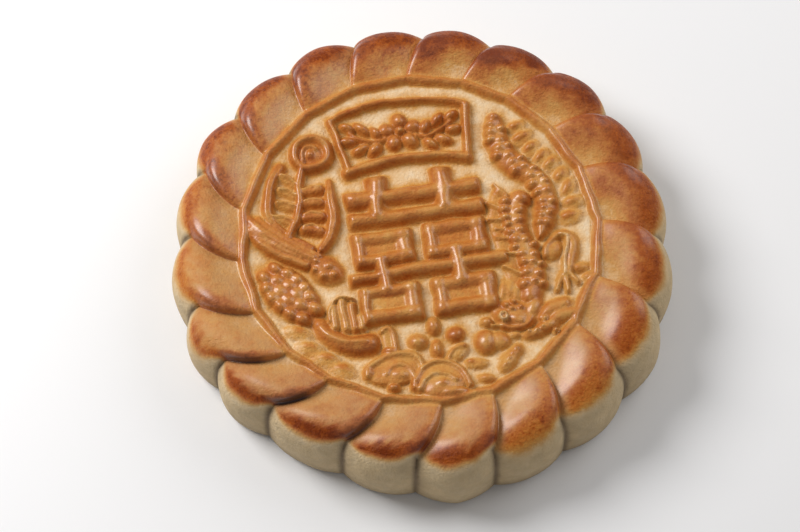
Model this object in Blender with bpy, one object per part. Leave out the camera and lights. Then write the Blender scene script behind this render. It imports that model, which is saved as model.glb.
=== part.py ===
"""A large round wedding pastry, pressed in a mould and baked: twenty petals overlap round the rim
like a pinwheel, and a rounded ring holds a medallion of raised ornament. It is one solid of dough.

Run it with: blender --background --python part.py
Metres, +Z up. The origin is at the middle of the flat underside. The wedding emblem stands upright
along +Y. Dimensions and layouts are written in millimetres from the middle of the ring, and MM turns
them into metres where a mesh is made.
"""

import math

import bmesh
import bpy
from mathutils import Vector

MM = 0.001

# Driving dimensions.
RING_RADIUS = 78.6
RING_BOW = 1.8
RING_BOW_END = 86.0
GROUND_HEIGHT = 31.8
WIDEST_RADIUS = 112.4
WALL_SHIFT = Vector((0.6, -0.5, 0.0))

# Petals run clockwise from the first one, each overlapping the one before it. The dough was shaped
# by hand, so each petal has its own small turn (degrees), sweep (degrees) and reach.
PETAL_COUNT = 20
PETAL_STEP = 360.0 / PETAL_COUNT
FIRST_PETAL_ANGLE = 105.0
PETAL_TURNS = (
    -0.9, -1.0, -1.0, 0.9, 0.9, 1.9, 0.4, -1.3, -1.0, -1.3,
    -0.9, 0.7, 0.4, -0.1, 2.2, 3.2, 2.7, 3.1, 0.5, -1.3,
)
PETAL_SWEEPS = (
    5.4, 5.0, 4.7, 6.0, 5.4, 5.6, 5.0, 4.0, 5.0, 5.6,
    6.0, 8.0, 7.4, 9.0, 10.0, 8.7, 9.0, 9.5, 6.5, 5.0,
)
PETAL_REACHES = (
    -1.4, -0.6, -1.0, 0.3, -0.8, -1.0, 0.0, 2.4, 0.3, -0.5,
    1.8, -2.7, -4.0, -0.6, 1.0, 0.2, -0.4, 0.9, -0.5, 0.3,
)
PETAL_STATIONS = (0.0, 0.035, 0.14, 0.32, 0.55, 0.8)
SWEEP_RADIUS = 104.0
SWEEP_CURVE = 1.5
LIP_WIDTH = 0.16
LIP_HEIGHT = 5.2
CUSP_DEPTH = 4.7

# Section through a petal at its fullest, from the foot of the ring out and down to the base:
# radius, height, share of the lip height, share of the cusp depth.
BODY_SECTION = (
    (75.2, GROUND_HEIGHT, 0.0, 0.0),
    (76.0, 34.9, 0.0, 0.0),
    (RING_RADIUS, 37.0, 0.0, 0.0),
    (81.0, 35.6, 0.1, 0.0),
    (84.0, 35.8, 0.45, 0.0),
    (90.0, 38.2, 0.9, 0.0),
    (96.5, 38.9, 1.0, 0.05),
    (102.6, 37.3, 1.0, 0.3),
    (107.4, 33.2, 0.75, 0.65),
    (110.8, 27.0, 0.3, 0.9),
    (WIDEST_RADIUS, 18.5, 0.0, 1.0),
    (112.3, 9.5, 0.0, 0.9),
    (111.4, 2.8, 0.0, 0.75),
    (109.8, 0.0, 0.0, 0.65),
)

# Relief: rounded strokes and lumps, half sunk in the ground.
RELIEF_HEIGHT = 4.6
SINK = 0.25
TUBE_RESOLUTION = 2
LUMP_SEGMENTS = 8
LUMP_RINGS = 6

# The union leaves points this close together, in metres, and edges that bend more than this stay sharp.
MERGE_DISTANCE = 0.00002
SHARP_ANGLE = math.radians(50)
BAKED_COLOUR = (0.48, 0.20, 0.055, 1.0)


def clear_scene():
    for obj in list(bpy.data.objects):
        bpy.data.objects.remove(obj, do_unlink=True)


def new_collection(name):
    collection = bpy.data.collections.new(name)
    bpy.context.scene.collection.children.link(collection)
    return collection


def baked_dough():
    material = bpy.data.materials.new("baked_dough")
    material.use_nodes = True
    shader = material.node_tree.nodes["Principled BSDF"]
    shader.inputs["Base Color"].default_value = BAKED_COLOUR
    shader.inputs["Roughness"].default_value = 0.38
    shader.inputs["Metallic"].default_value = 0.0
    material.diffuse_color = BAKED_COLOUR
    return material


def mesh_object(name, bm, collection):
    mesh = bpy.data.meshes.new(name)
    bm.to_mesh(mesh)
    bm.free()
    obj = bpy.data.objects.new(name, mesh)
    collection.objects.link(obj)
    return obj


def petal_start(petal):
    """Angle of a petal's lip at the ring, in degrees, counter-clockwise from +X."""
    return FIRST_PETAL_ANGLE - PETAL_STEP * petal + PETAL_TURNS[petal % PETAL_COUNT]


def mixed(first, second, share):
    return first * (1.0 - share) + second * share


def portion(value, start, stop):
    """How far a value has got from start to stop, kept between 0 and 1."""
    return min(max((value - start) / (stop - start), 0.0), 1.0)


def sweep(petal, station, radius):
    """How far clockwise the lips have curved, in degrees, at this place."""
    full = mixed(PETAL_SWEEPS[petal], PETAL_SWEEPS[(petal + 1) % PETAL_COUNT], station)
    return full * portion(radius, RING_RADIUS, SWEEP_RADIUS) ** SWEEP_CURVE


def petal_reach(petal, station):
    """How far the wall stands out here: each petal's own reach at its middle, blended in between."""
    away = station - 0.5
    neighbour = (petal + (1 if away > 0.0 else -1)) % PETAL_COUNT
    return mixed(PETAL_REACHES[petal], PETAL_REACHES[neighbour], abs(away))


def lip_profile(station):
    """Height across a petal: a rounded lip at its start, falling away under the next petal."""
    if station < LIP_WIDTH:
        return math.sqrt(1.0 - (1.0 - station / LIP_WIDTH) ** 2)
    return math.cos(0.5 * math.pi * (station - LIP_WIDTH) / (1.0 - LIP_WIDTH))


def body_point(petal, station, section):
    """A point of the crust, in metres. Petal and station place it round the ring, section across it."""
    full_radius, height, lip_share, cusp_share = section
    outward = portion(full_radius, RING_RADIUS, WIDEST_RADIUS)
    cusp = (2.0 * station - 1.0) ** 2
    bow = RING_BOW * (cusp - 0.5) * portion(full_radius, RING_BOW_END, RING_RADIUS)
    radius = full_radius - CUSP_DEPTH * cusp_share * cusp + petal_reach(petal, station) * outward + bow
    height -= LIP_HEIGHT * lip_share * (1.0 - lip_profile(station))
    angle = mixed(petal_start(petal), petal_start(petal + 1), station)
    angle = math.radians(angle - sweep(petal, station, full_radius))
    return (Vector((radius * math.cos(angle), radius * math.sin(angle), height)) + WALL_SHIFT * outward) * MM


def scalloped_body(collection):
    """The petals, the ring and the wall: one section lofted round the centre, closed above and below."""
    bm = bmesh.new()
    columns = []
    for petal in range(PETAL_COUNT):
        for station in PETAL_STATIONS:
            columns.append([bm.verts.new(body_point(petal, station, row)) for row in BODY_SECTION])
    for here, following in zip(columns, columns[1:] + columns[:1]):
        for row in range(len(BODY_SECTION) - 1):
            bm.faces.new((here[row], here[row + 1], following[row + 1], following[row]))
    bm.faces.new([column[0] for column in columns])
    bm.faces.new([column[-1] for column in columns])
    bmesh.ops.recalc_face_normals(bm, faces=bm.faces)
    return mesh_object("pastry", bm, collection)


def smooth_path(points, step, closed=False):
    """Points about a step apart on a smooth curve through the given ones (Catmull-Rom)."""
    count = len(points)
    ends = [Vector(p) for p in points]
    path = []
    for i in range(count if closed else count - 1):
        before = ends[i - 1] if closed or i else ends[0] * 2 - ends[1]
        start = ends[i]
        stop = ends[(i + 1) % count]
        after = ends[(i + 2) % count] if closed or i + 2 < count else stop * 2 - start
        pieces = max(1, round((stop - start).length / step))
        for j in range(pieces):
            t = j / pieces
            path.append(
                0.5 * (2 * start + (stop - before) * t + (2 * before - 5 * start + 4 * stop - after) * t**2
                       + (3 * start - before - 3 * stop + after) * t**3)
            )
    if not closed:
        path.append(ends[-1])
    return path


def round_the_ends(path, half_width):
    """Path points with their share of the full width, so that a ridge's ends are round."""
    def end(tip, inner):
        inward = (inner - tip).normalized()
        return [(tip, 0.3), (tip + inward * half_width * 0.3, 0.72), (tip + inward * half_width, 1.0)]

    first = end(path[0], path[1])
    last = end(path[-1], path[-2])
    middle = [
        (point, 1.0) for point in path[1:-1]
        if min((point - path[0]).length, (point - path[-1]).length) > 1.4 * half_width
    ]
    return first + middle + last[::-1]


def ridge(points, half_width, collection, height=RELIEF_HEIGHT, step=5.0, closed=False, straight=False):
    """A raised stroke of dough on the medallion: a tube of oval section, half sunk in the ground."""
    path = [Vector(p) for p in points] if straight else smooth_path(points, step, closed)
    shares = [(point, 1.0) for point in path] if closed else round_the_ends(path, half_width)
    curve = bpy.data.curves.new("ridge", "CURVE")
    curve.dimensions = "3D"
    curve.twist_mode = "Z_UP"
    curve.bevel_depth = half_width * MM
    curve.bevel_resolution = TUBE_RESOLUTION
    curve.use_fill_caps = True
    spline = curve.splines.new("POLY")
    spline.use_cyclic_u = closed
    spline.points.add(len(shares) - 1)
    for spot, (point, share) in zip(spline.points, shares):
        spot.co = (point.x * MM, point.y * MM, 0.0, 1.0)
        spot.radius = share
    guide = bpy.data.objects.new("ridge", curve)
    collection.objects.link(guide)
    tube = bpy.data.meshes.new_from_object(guide.evaluated_get(bpy.context.evaluated_depsgraph_get()))
    bpy.data.objects.remove(guide, do_unlink=True)
    bm = bmesh.new()
    bm.from_mesh(tube)
    bmesh.ops.remove_doubles(bm, verts=bm.verts, dist=MERGE_DISTANCE)
    stretch = height / half_width
    for vert in bm.verts:
        vert.co.z = vert.co.z * stretch + (GROUND_HEIGHT - SINK) * MM
    bmesh.ops.recalc_face_normals(bm, faces=bm.faces)
    return mesh_object("ridge", bm, collection)


def dome(x, y, half_length, half_width, collection, turn=0.0, height=RELIEF_HEIGHT, segments=LUMP_SEGMENTS):
    """A rounded lump of dough, oval in plan, half sunk in the ground."""
    bm = bmesh.new()
    bmesh.ops.create_uvsphere(bm, u_segments=segments, v_segments=LUMP_RINGS, radius=1.0)
    cosine = math.cos(math.radians(turn))
    sine = math.sin(math.radians(turn))
    for vert in bm.verts:
        along = vert.co.x * half_length
        across = vert.co.y * half_width
        vert.co.x = (x + along * cosine - across * sine) * MM
        vert.co.y = (y + along * sine + across * cosine) * MM
        vert.co.z = (vert.co.z * height + GROUND_HEIGHT - SINK) * MM
    return mesh_object("dome", bm, collection)


def box_path(left, right, bottom, top, corner=2.2):
    """A rectangle with cut corners."""
    return [
        (left + corner, top, 0), (right - corner, top, 0), (right, top - corner, 0),
        (right, bottom + corner, 0), (right - corner, bottom, 0), (left + corner, bottom, 0),
        (left, bottom + corner, 0), (left, top - corner, 0),
    ]


def flat(points):
    return [(x, y, 0.0) for x, y in points]


def wedding_emblem(collection):
    """The joined emblem of a wedding: bars, uprights and four open boxes."""
    bars = (
        ((-30, 22), (30, 20.5), 4.0),
        ((-30, 11.5), (30, 11.5), 4.0),
        ((-35.5, -17), (37, -16), 3.6),
        ((-16.5, 29.5), (-16.5, 12), 3.6),
        ((14, 29.5), (14, 12), 3.6),
        ((-18.5, -8), (-18.5, -23), 3.0),
        ((15, -8), (15, -23), 3.0),
    )
    for start, stop, half_width in bars:
        ridge(flat((start, stop)), half_width, collection, straight=True)
    dome(-15.5, 28.0, 5.2, 4.4, collection)
    dome(14.0, 28.0, 5.2, 4.6, collection)
    boxes = (
        (-27.6, -6.6, -8.6, 1.6),
        (4.6, 26.8, -8.4, 1.8),
        (-28, -7, -36, -24.6),
        (4.6, 25.6, -36.4, -24.6),
    )
    for left, right, bottom, top in boxes:
        ridge(box_path(left, right, bottom, top), 3.3, collection, closed=True, straight=True)


LEAF_SPRAY = ((12.5, 54.5, 35), (13.5, 47.5, -25), (19, 57, 20), (19.5, 50, -8), (24, 54, 8))


def plaque(collection):
    """A framed panel above the emblem, with a blossom between two sprays of leaves."""
    frame = [(-27, 36.5), (-29, 47), (-30.6, 61), (-15, 64.6), (0, 65.6), (16, 64.2), (31.4, 60), (30, 48),
             (28, 34.8), (14, 37.4), (0, 38.2), (-14, 37.8)]
    ridge(flat(frame), 2.4, collection, height=4.0, closed=True, straight=True)
    for turn in range(5):
        angle = math.radians(90 + 72 * turn)
        dome(5.6 * math.cos(angle), 51 + 5.2 * math.sin(angle), 3.8, 3.0, collection,
             turn=math.degrees(angle), height=3.4)
    dome(0, 51, 2.2, 2.2, collection, height=4.4)
    for side in (-1, 1):
        for reach, rise, turn in LEAF_SPRAY:
            dome(side * reach, rise, 3.9, 2.0, collection, turn=side * turn, height=3.0)


def phoenix(collection):
    """The bird on the left: curled crest, feathered wings, a bundle of plumes and a scaled body."""
    ridge(flat([(-47.5, 41), (-50, 48), (-46, 55), (-38.5, 55), (-34, 49.5), (-36.5, 42.5), (-43, 40.2)]),
          2.9, collection, closed=True, step=7.0)
    dome(-42, 47.6, 3.4, 3.2, collection, height=4.2)
    ridge(flat([(-48, 40), (-50.5, 27), (-52.5, 18), (-57, 9)]), 2.0, collection, step=9.0)
    ridge(flat([(-53.5, 43), (-60, 37), (-64.6, 27), (-64.4, 18), (-58, 9)]), 2.4, collection, step=7.0)
    ridge(flat([(-35.5, 33), (-37, 24), (-36.4, 15), (-39.5, 7), (-44.5, 0.5)]), 3.0, collection, step=8.0)
    barbs = ((-51, 36, -56.5, 39), (-51.5, 30, -58, 33), (-52.5, 24, -60, 27), (-54, 18, -61, 20.5),
             (-48, 29.5, -40, 31), (-48.5, 24, -40, 25.5), (-49, 18, -40.5, 20), (-50, 12, -42, 15))
    for x, y, tip_x, tip_y in barbs:
        ridge(flat([(x, y), (tip_x, tip_y)]), 1.7, collection, height=3.2, straight=True)
    for side in (-1, 0, 1):
        ridge(flat([(-72 + 1.5 * side, 18 + 3.6 * side), (-62 + 2.4 * side, 8 + 3.4 * side),
                    (-44 + 1.6 * side, -5.5 + 2.6 * side)]), 2.3, collection, step=14.0)
    for x, y, size in ((-43, -9, 5.6), (-38.5, -12, 4.2), (-45, -13.5, 3.2)):
        dome(x, y, size, size * 0.85, collection, turn=-35)
    dome(-60.5, -17.5, 15.5, 8.6, collection, turn=-57, height=3.6, segments=14)
    for along in range(-2, 3):
        for across in (-1, 1):
            centre = Vector((-60.5, -17.5)) + along * 5.2 * Vector((0.545, -0.839))
            centre += across * (3.9 - 0.5 * abs(along)) * Vector((0.839, 0.545))
            dome(centre.x, centre.y, 2.7, 2.4, collection, turn=-57, height=5.0)


def clouds_and_leaves(collection):
    """The foot of the medallion: feathers, a crescent, scales along the ring, waves, petals and buds."""
    feathers = ((-41.5, -31, 7.5, 3.0, 82), (-36.3, -33, 6.5, 2.4, 88), (-32.3, -36, 4.6, 1.8, 80))
    for x, y, length, width, turn in feathers:
        dome(x, y, length, width, collection, turn=turn, height=3.4)
    ridge(flat([(-50.5, -33), (-47, -40.5), (-39, -46.5), (-28, -48.5)]), 4.4, collection, step=7.0)
    ridge(flat([(-24, -42.5), (-20.8, -45.5), (-20.8, -51.5)]), 1.9, collection, height=3.2, step=5.0)
    for x, y, turn in ((-62, -38, -28), (-55.5, -44.5, -30), (-50, -50.5, -25), (-44, -56, -22)):
        dome(x, y, 6.2, 3.2, collection, turn=turn, height=2.8)
    seeds = ((-2.5, -44, 3.1, 4.6), (-10, -50, 4.4, 3.9), (6.5, -49.4, 4.5, 3.8), (-2, -55, 2.9, 4.4))
    for x, y, length, width in seeds:
        dome(x, y, length, width, collection, height=3.8)
    ridge(flat([(1.5, -61), (5, -57), (10, -56.5)]), 2.4, collection, height=3.0)
    dome(13.5, -64, 5.0, 2.9, collection, turn=8, height=2.8)
    ridge(flat([(25.5, -66), (33, -58.5)]), 3.7, collection, height=3.6, straight=True)
    dome(18.5, -54.5, 5.6, 5.2, collection, height=4.4, segments=10)
    dome(25.5, -56, 5.2, 3.6, collection, turn=-12, height=3.2)
    dome(21.2, -46.8, 2.5, 2.9, collection, height=3.6)
    ridge(flat([(-34, -63), (-30.5, -57.5), (-22, -54.5), (-14, -56), (-9.8, -61)]), 2.3, collection,
          height=3.6, step=6.0)
    ridge(flat([(-25, -62), (-20, -61.2), (-15.8, -65.5)]), 2.4, collection, height=3.2, step=5.0)
    ridge(flat([(-15, -72), (-12.5, -65), (-4, -61.8), (4.5, -65), (9.5, -73)]), 2.5, collection,
          height=4.0, step=7.0)
    dome(-2.5, -71.5, 8.0, 4.2, collection, height=4.2, segments=10)
    dome(-24, -69.8, 2.4, 2.2, collection, height=3.4)
    dome(4.0, -76.2, 8.5, 3.2, collection, height=5.0)


def dragon(collection):
    """The dragon on the right: beaded back in two coils, fins along the ring, head, leg and claws."""
    upper = [(42, 53), (41.5, 45), (42.5, 37), (46, 29), (50.5, 22.5), (56, 17.5), (59, 10), (56.5, 2.5),
             (53.5, -4.5)]
    ridge(flat(upper), 4.3, collection, step=8.5)
    lower = [(46, 12), (41.5, 5), (41, -4), (43.5, -13), (45, -22), (42, -31)]
    ridge(flat(lower), 4.8, collection, step=9.0)
    beads = (
        (40.5, 47.5), (40.3, 42.5), (41.6, 37), (45.6, 31.5), (47.6, 25), (53.2, 18.5), (58.4, 14), (58, 7.5),
        (54.6, 0.5), (39.4, 3.5), (39.4, -2), (40.5, -8), (43.2, -16.5), (43.2, -21.5), (47.4, -22),
        (43, -26.5), (40, -31.5), (46.2, -31),
    )
    for x, y in beads:
        dome(x, y, 2.2, 2.0, collection, height=5.4, segments=6)
    fins = ((51.5, 46.5), (53, 41), (55.5, 35.8), (59, 30.6), (62.8, 25), (66.5, 18.6), (68, 12.2),
            (68.4, 5.6), (67.6, -1.6))
    for x, y in fins:
        dome(x, y, 3.9, 2.5, collection, turn=math.degrees(math.atan2(y, x)) * 0.5, height=2.8)
    spikes = ((36.5, 17.5, 42, 13), (31.5, 9.5, 38, 7), (31.5, 2, 38, 2), (32, -6.5, 38, -7),
              (34.5, -21, 40, -24))
    for x, y, root_x, root_y in spikes:
        ridge(flat([(x, y), (root_x, root_y)]), 1.5, collection, height=3.4, straight=True)
    ridge(flat([(34, -29), (31.5, -36), (29, -43)]), 3.2, collection, height=3.8)
    dome(34.5, -45, 8.0, 7.0, collection, turn=-30, height=4.0, segments=12)
    ridge(flat([(45, -37), (44, -44), (39, -50)]), 3.0, collection, height=4.2)
    dome(28.8, -44.4, 2.1, 2.1, collection, height=5.2)
    dome(32.5, -41.5, 2.6, 2.2, collection, height=5.2, segments=6)
    ridge(flat([(53.5, -19), (56, -12.5), (62.5, -10), (64, -16), (60.8, -24), (60, -33)]), 2.9, collection,
          height=4.0, step=7.0)
    for x, y, tip_x, tip_y in ((58.5, -31, 55, -36.5), (60, -32, 59.8, -38), (61.5, -31, 65.5, -35.5)):
        ridge(flat([(x, y), (tip_x, tip_y)]), 1.5, collection, height=3.2, straight=True)
    dome(65.5, -27.5, 4.4, 2.6, collection, turn=-8, height=3.0)
    dome(51, -45.5, 7.6, 3.8, collection, turn=28, height=3.8, segments=10)
    dome(47, -51.5, 6.0, 3.0, collection, turn=18, height=3.6)
    for x, y in ((38, -54.2), (43, -54.8), (49, -55)):
        dome(x, y, 2.8, 2.3, collection, height=3.8, segments=6)


def fuse(body, relief):
    """Joins every piece of the relief to the body, and leaves one closed mesh."""
    joint = body.modifiers.new("relief", "BOOLEAN")
    joint.operation = "UNION"
    joint.operand_type = "COLLECTION"
    joint.collection = relief
    joint.solver = "EXACT"
    bpy.context.view_layer.objects.active = body
    bpy.ops.object.modifier_apply(modifier=joint.name)
    for piece in list(relief.objects):
        bpy.data.objects.remove(piece, do_unlink=True)
    bpy.data.collections.remove(relief)


def tidy(body):
    """Joins points that the union left on top of each other, and shades the dough smooth."""
    bm = bmesh.new()
    bm.from_mesh(body.data)
    bmesh.ops.remove_doubles(bm, verts=bm.verts, dist=MERGE_DISTANCE)
    bmesh.ops.dissolve_degenerate(bm, edges=bm.edges, dist=MERGE_DISTANCE)
    bmesh.ops.triangulate(bm, faces=bm.faces)
    bm.to_mesh(body.data)
    bm.free()
    body.data.shade_smooth()
    body.data.set_sharp_from_angle(angle=SHARP_ANGLE)


def centre_on_origin(body):
    """Puts the middle of the body's extent along X and along Y at the origin."""
    xs = [vert.co.x for vert in body.data.vertices]
    ys = [vert.co.y for vert in body.data.vertices]
    offset = Vector((-0.5 * (min(xs) + max(xs)), -0.5 * (min(ys) + max(ys)), 0.0))
    for vert in body.data.vertices:
        vert.co += offset
    print("the ring's middle is at x %.3f mm, y %.3f mm" % (offset.x / MM, offset.y / MM))


def main():
    clear_scene()
    pastry = new_collection("wedding_pastry")
    relief = new_collection("relief")
    body = scalloped_body(pastry)
    wedding_emblem(relief)
    plaque(relief)
    phoenix(relief)
    clouds_and_leaves(relief)
    dragon(relief)
    fuse(body, relief)
    tidy(body)
    centre_on_origin(body)
    body.data.materials.clear()
    body.data.materials.append(baked_dough())


main()
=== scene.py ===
import math

import bpy
import numpy as np
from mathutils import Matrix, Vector, noise


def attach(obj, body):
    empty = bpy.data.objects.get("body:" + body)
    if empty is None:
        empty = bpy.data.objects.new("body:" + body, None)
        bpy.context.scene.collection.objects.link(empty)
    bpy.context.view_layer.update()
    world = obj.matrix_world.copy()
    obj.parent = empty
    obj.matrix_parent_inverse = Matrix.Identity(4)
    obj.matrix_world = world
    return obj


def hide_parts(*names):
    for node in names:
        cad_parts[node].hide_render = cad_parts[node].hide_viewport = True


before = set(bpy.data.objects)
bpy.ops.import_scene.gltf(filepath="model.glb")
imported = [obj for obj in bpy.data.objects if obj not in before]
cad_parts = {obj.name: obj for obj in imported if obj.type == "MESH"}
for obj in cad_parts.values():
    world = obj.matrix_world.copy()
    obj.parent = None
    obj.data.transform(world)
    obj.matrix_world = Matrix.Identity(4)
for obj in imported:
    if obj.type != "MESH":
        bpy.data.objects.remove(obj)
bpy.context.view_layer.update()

mm = 0.001
ringMiddle = (-0.039, 1.941)  # mm, where the CAD's ring is centred

# Shape helpers. Lengths are in millimetres until the mesh is made.


def portion(value, start, stop):
    return np.clip((value - start) / (stop - start), 0.0, 1.0)


def ease(value, start=0.0, stop=1.0):
    x = portion(value, start, stop)
    return x * x * (3.0 - 2.0 * x)


def mixed(first, second, share):
    return first + (second - first) * share


def softMax(a, b, blend):
    over = np.maximum(blend - np.abs(a - b), 0.0) / blend
    return np.maximum(a, b) + over * over * blend * 0.25


def smoothCurve(points, spacing, closed=False):
    # Catmull-Rom through the points, cut at one spacing, or at each span's own
    points = np.array(points, float)
    count = len(points)
    spans = count if closed else count - 1
    curve = []
    for i, gap in enumerate(np.broadcast_to(spacing, spans)):
        a = points[i - 1] if closed or i else 2 * points[0] - points[1]
        b, c = points[i], points[(i + 1) % count]
        d = points[(i + 2) % count] if closed or i + 2 < count else 2 * c - b
        cuts = max(1, round(np.linalg.norm((c - b)[:2]) / gap))
        for t in np.arange(cuts) / cuts:
            curve.append(0.5 * (2 * b + (c - a) * t + (2 * a - 5 * b + 4 * c - d) * t**2
                                + (3 * b - a - 3 * c + d) * t**3))
    curve.append(points[0] if closed else points[-1])
    return np.array(curve)


def unevenness(x, y, size, layer):
    # smooth, hand-made irregularity between about -1 and 1; each layer is a pattern of its own
    return np.array([noise.noise(Vector((a / size, b / size, layer))) for a, b in zip(x, y)]) * 1.6


# The figures pressed into the medallion. Every stroke or lump is blended into what is there already.
stroke = {
    "sunken": -12.0,  # mm, what the height starts from where nothing is pressed yet
    "tone": 0.66,  # how brown a stroke bakes, from 0 to 1, unless it says otherwise
    "fullness": 1.14,  # what every ridge's half width is multiplied by
    "fall": 1.2,  # how steeply a stroke goes on down beyond its outline
    "spacing": 1.2,  # mm between the points of a smooth ridge
}


class Relief:
    def __init__(self, x, y):
        self.x, self.y = x, y
        self.height = np.full(len(x), stroke["sunken"])
        self.tone = np.full(len(x), stroke["tone"])

    def near(self, low, high, margin):
        return np.nonzero((self.x > low[0] - margin) & (self.x < high[0] + margin)
                          & (self.y > low[1] - margin) & (self.y < high[1] + margin))[0]

    def add(self, which, u, width, height, crown, tone, blend):
        # u is 0 on the crest and 1 at the outline; a low crown gives a round top with steep flanks
        inside = np.clip(1.0 - u * u, 0.0, 1.0) ** crown
        value = np.where(u < 1.0, height * inside, -(u - 1.0) * width * stroke["fall"])
        old = self.height[which]
        self.tone[which] = mixed(self.tone[which], tone, ease((value - old) / blend + 0.5))
        self.height[which] = softMax(old, value, blend)

    def distance(self, path, margin):
        # how far each point is from a path of (x, y, half width), in half widths and in mm, with the
        # half width there and the place along the path from 0 to 1
        which = self.near(path[:, :2].min(0), path[:, :2].max(0), margin)
        px, py = self.x[which], self.y[which]
        best = np.full(len(which), 1e9)
        away = np.full(len(which), 1e9)
        width = np.ones(len(which))
        along = np.zeros(len(which))
        done = 0.0
        for a, b in zip(path[:-1], path[1:]):
            dx, dy = b[0] - a[0], b[1] - a[1]
            length = math.hypot(dx, dy)
            t = np.clip(((px - a[0]) * dx + (py - a[1]) * dy) / length**2, 0.0, 1.0)
            d = np.hypot(px - a[0] - t * dx, py - a[1] - t * dy)
            w = mixed(a[2], b[2], t)
            closer = d / w < best
            best = np.where(closer, d / w, best)
            away = np.where(closer, d, away)
            width = np.where(closer, w, width)
            along = np.where(closer, done + t * length, along)
            done += length
        return which, best, away, width, along / done

    def ridge(self, points, width, height, closed=False, straight=False, crown=1.1, tone=stroke["tone"],
              blend=1.3, rise=None, groove=None):
        # a point may carry its own half width. rise: height shares along the stroke. groove: the half
        # width and depth of a line down its middle
        points = [(x, y, stroke["fullness"] * (own[0] if own else width)) for x, y, *own in points]
        path = np.array(points, float) if straight else smoothCurve(points, stroke["spacing"], closed)
        which, u, away, w, along = self.distance(path, 3.0 * width)
        tall = height if rise is None else height * np.interp(along, np.linspace(0, 1, len(rise)), rise)
        if groove:
            tall = tall - groove[1] * np.exp(-(away / groove[0]) ** 2)
        self.add(which, u, w, tall, crown, tone, blend)

    def bar(self, start, stop, width, height, end=2.6, crown=1.1, tone=stroke["tone"], blend=1.2):
        # a straight ridge from outline to outline with squared ends; end is how far its end slopes reach
        (x0, y0), (x1, y1) = start, stop
        half = math.hypot(x1 - x0, y1 - y0) / 2
        c, s = (x1 - x0) / (2 * half), (y1 - y0) / (2 * half)
        middle = ((x0 + x1) / 2, (y0 + y1) / 2)
        which = self.near(middle, middle, half + 2 * width)
        px, py = self.x[which] - middle[0], self.y[which] - middle[1]
        across = np.abs(py * c - px * s) / width
        beyond = np.maximum(np.abs(px * c + py * s) - (half - end), 0.0) / end
        self.add(which, (across**4 + beyond**4) ** 0.25, width, height, crown, tone, blend)

    def lump(self, x, y, halfLength, halfWidth, turn=0.0, height=4.6, crown=0.8, tone=stroke["tone"],
             blend=1.0):
        which = self.near((x, y), (x, y), 2.0 * max(halfLength, halfWidth) + 1.0)
        c, s = math.cos(math.radians(turn)), math.sin(math.radians(turn))
        px, py = self.x[which] - x, self.y[which] - y
        u = np.hypot((px * c + py * s) / halfLength, (py * c - px * s) / halfWidth)
        self.add(which, u, min(halfLength, halfWidth), height, crown, tone, blend)


def weddingEmblem(relief):
    # four boxes: the crest lines of the left, right, lower and upper sides, their half widths, and how
    # brown the floor is
    boxes = [((-28.0, -7.9, -8.3, 1.9), (3.1, 4.4, 3.5, 4.0), 0.48),
             ((4.2, 25.2, -8.2, 2.9), (3.8, 4.2, 3.8, 4.2), 0.52),
             ((-28.4, -8.0, -35.2, -23.8), (3.0, 4.2, 3.8, 3.6), 0.3),
             ((4.6, 25.0, -34.8, -24.0), (3.9, 4.4, 4.2, 4.2), 0.4)]
    for (left, right, bottom, top), (onLeft, onRight, below, above), floorTone in boxes:
        middle = (bottom + top) / 2
        relief.bar((left, middle), (right, middle), width=(top - bottom) / 2, height=2.5, crown=0.6,
                   tone=floorTone)
        for start, stop, width, height in [
                ((left, bottom - below), (left, top + above), onLeft, 4.9),
                ((right, bottom - below), (right, top + above), onRight, 4.7),
                ((left - onLeft, bottom), (right + onRight, bottom), below, 4.7),
                ((left - onLeft, top), (right + onRight, top), above, 4.6)]:
            relief.bar(start, stop, width, height, blend=1.9, crown=0.85)
    # the long bars, and the knob at the left end of the topmost
    for start, stop, width, height in [
            ((-31.4, 21.9), (30.4, 21.4), 4.7, 4.9), ((-31.2, 11.7), (30.8, 11.5), 4.6, 4.8),
            ((-34.8, -16.3), (-18, -16.0), 3.3, 4.5), ((-20, -15.2), (37, -14.6), 4.1, 4.7)]:
        relief.bar(start, stop, width, height)
    relief.lump(-27.0, 21.8, 4.4, 4.8, height=5.3)
    # uprights: the heads above the topmost bar, the stems, and the feet that flare where stems meet bars
    relief.bar((-15.9, 33.2), (-15.9, 21), width=5.2, height=5.3, end=3.2)
    relief.bar((13.3, 33.8), (13.3, 21), width=5.4, height=5.5, end=3.2)
    for points, height in [([(-16.2, 28, 3.6), (-16.6, 23, 3.6), (-17.2, 18, 3.1), (-17.8, 13.4, 2.8)], 5.7),
                           ([(13.2, 28, 3.8), (13.2, 23, 4.0), (12.9, 18, 3.3), (12.6, 13.4, 2.9)], 5.9),
                           ([(-18.8, -8.6, 2.7), (-18.8, -15, 2.7), (-18.8, -23.0, 2.7)], 5.6),
                           ([(14.2, -8.6, 3.3), (14.4, -15, 3.1), (14.8, -23.0, 3.3)], 5.7)]:
        relief.ridge(points, width=4, height=height, crown=0.6)
    for x, high, low, wide in [(-16.6, 21.0, 14.4, 6.0), (13.6, 21.0, 14.4, 6.6),
                               (-18.4, -15.6, -21.4, 5.2), (14.8, -15.6, -21.4, 6.0)]:
        relief.ridge([(x, high, 2.0), (x + 0.1, (high + low) / 2, 0.6 * wide), (x, low, wide)], width=wide,
                     height=4.5, crown=1.5, blend=2.4, rise=(0.8, 0.9, 1))


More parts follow.
